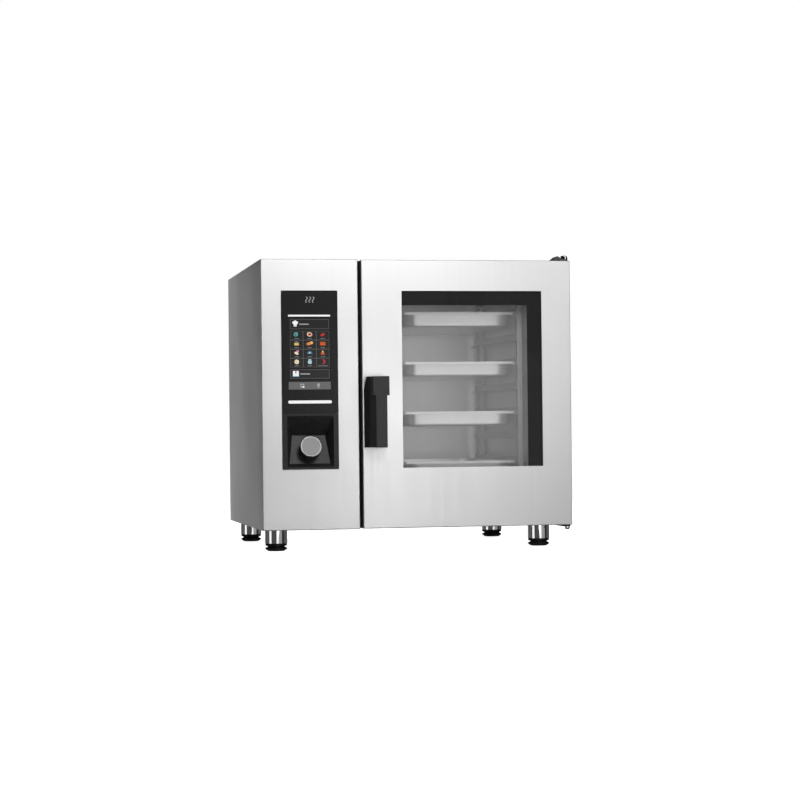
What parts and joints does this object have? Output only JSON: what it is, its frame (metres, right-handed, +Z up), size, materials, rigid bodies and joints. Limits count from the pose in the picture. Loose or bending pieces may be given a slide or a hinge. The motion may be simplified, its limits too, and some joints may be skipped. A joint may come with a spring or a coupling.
{
  "type": "combi steamer oven",
  "caption": "Countertop combi steamer oven with a control column, hinged glazed door, turning latch handle, fan cavity with pan racks, and levelling feet.",
  "frame": {"origin": "on the floor, under the middle of the whole oven's box", "axes": "+Z up, +X to the right seen from the front, +Y from the door to the back"},
  "size_m": [0.852, 0.876, 0.813],
  "materials": {
    "casing_steel": "satin brushed stainless sheet",
    "door_steel": "satin brushed stainless sheet",
    "cavity_steel": "bright rolled stainless sheet",
    "pan_steel": "polished pressed stainless",
    "chrome": "polished",
    "foot_plastic": "fine moulded grain",
    "black_plastic": "fine moulded grain",
    "panel_glass": "polished black glass",
    "clear_glass": "clear tempered glass",
    "black_border": "black enamel border",
    "knob_metal": "spun satin",
    "seal_rubber": "silicone",
    "mineral_wool": "mineral wool",
    "fittings_steel": "turned or drawn steel",
    "drain_plastic": "grey moulded plastic",
    "hinge_metal": "dark satin",
    "bush_brass": "turned",
    "motor_metal": "cast",
    "electronics": "circuit board and moulded housings"
  },
  "bodies": {
    "casing": {"front_fascia": "casing_steel", "left_side_panel": "casing_steel", "right_side_panel": "casing_steel", "top_cover": "casing_steel", "rear_panel": "casing_steel", "base_tray": "casing_steel", "cavity_liner": "cavity_steel", "cavity_front_frame": "cavity_steel", "fan_baffle": "cavity_steel", "baffle_studs": "cavity_steel", "rack_left": "cavity_steel", "rack_right": "cavity_steel", "gn_pan_1": "pan_steel", "gn_pan_2": "pan_steel", "gn_pan_3": "pan_steel", "gn_pan_4": "pan_steel", "leg_tubes": "chrome", "hinge_pins": "chrome", "control_bezel": "black_plastic", "gap_trim": "black_plastic", "cable_gland": "black_plastic", "control_glass": "panel_glass", "door_seal": "seal_rubber", "insulation": "mineral_wool", "casing_screws": "fittings_steel", "latch_strike": "fittings_steel", "drain_strainer": "fittings_steel", "flue_stub": "fittings_steel", "heating_element": "fittings_steel", "drain_pipe": "drain_plastic", "water_inlet_valves": "drain_plastic", "hinge_brackets": "hinge_metal", "fan_motor": "motor_metal", "display_module": "electronics", "control_board": "electronics", "encoder_body": "electronics"},
    "door": {"door_skin": "door_steel", "door_inner_pan": "door_steel", "door_outer_glass": "clear_glass", "window_mask": "black_border", "door_led_strip": "electronics", "door_inner_glass": "clear_glass", "inner_glass_seal": "seal_rubber", "glass_clips": "fittings_steel", "drip_gutter": "door_steel", "hinge_bushes": "bush_brass", "handle_housing": "black_plastic"},
    "handle": {"handle_lever": "black_plastic", "handle_spindle": "fittings_steel", "latch_hook": "fittings_steel"},
    "knob_plunger": {"encoder_plunger": "electronics"},
    "knob": {"knob_shaft": "fittings_steel", "knob_body": "black_plastic", "knob_cap": "knob_metal"},
    "fan": {"fan_shaft": "fittings_steel", "fan_wheel": "fittings_steel"},
    "foot_front_left": {"foot_front_left": "foot_plastic"},
    "foot_front_right": {"foot_front_right": "foot_plastic"},
    "foot_rear_left": {"foot_rear_left": "foot_plastic"},
    "foot_rear_right": {"foot_rear_right": "foot_plastic"}
  },
  "joints": [
    {"name": "door_hinge", "type": "hinge", "parent": "casing", "child": "door", "pos_m": [0.415, -0.358, 0.42], "axis": [0, 0, 1], "range_deg": [0, 150]},
    {"name": "handle_turn", "type": "hinge", "parent": "door", "child": "handle", "pos_m": [-0.1135, -0.374, 0.4425], "axis": [0, 1, 0], "range_deg": [-60, 60]},
    {"name": "knob_push", "type": "slide", "parent": "casing", "child": "knob_plunger", "axis": [0, 0.9566, -0.2914], "range_m": [0, 0.003], "stiffness_N_per_m": 800, "springref_m": -0.002},
    {"name": "knob_turn", "type": "hinge", "parent": "knob_plunger", "child": "knob", "pos_m": [-0.29575, -0.34896, 0.27174], "axis": [0, -0.9566, 0.2914], "continuous": true},
    {"name": "fan_spin", "type": "hinge", "parent": "casing", "child": "fan", "pos_m": [-0.089, -0.017, 0.45], "axis": [1, 0, 0], "continuous": true},
    {"name": "foot_front_left_level", "type": "slide", "parent": "casing", "child": "foot_front_left", "axis": [0, 0, -1], "range_m": [0, 0.02]},
    {"name": "foot_rear_left_level", "type": "slide", "parent": "casing", "child": "foot_rear_left", "axis": [0, 0, -1], "range_m": [0, 0.02]},
    {"name": "foot_front_right_level", "type": "slide", "parent": "casing", "child": "foot_front_right", "axis": [0, 0, -1], "range_m": [0, 0.02]},
    {"name": "foot_rear_right_level", "type": "slide", "parent": "casing", "child": "foot_rear_right", "axis": [0, 0, -1], "range_m": [0, 0.02]}
  ]
}
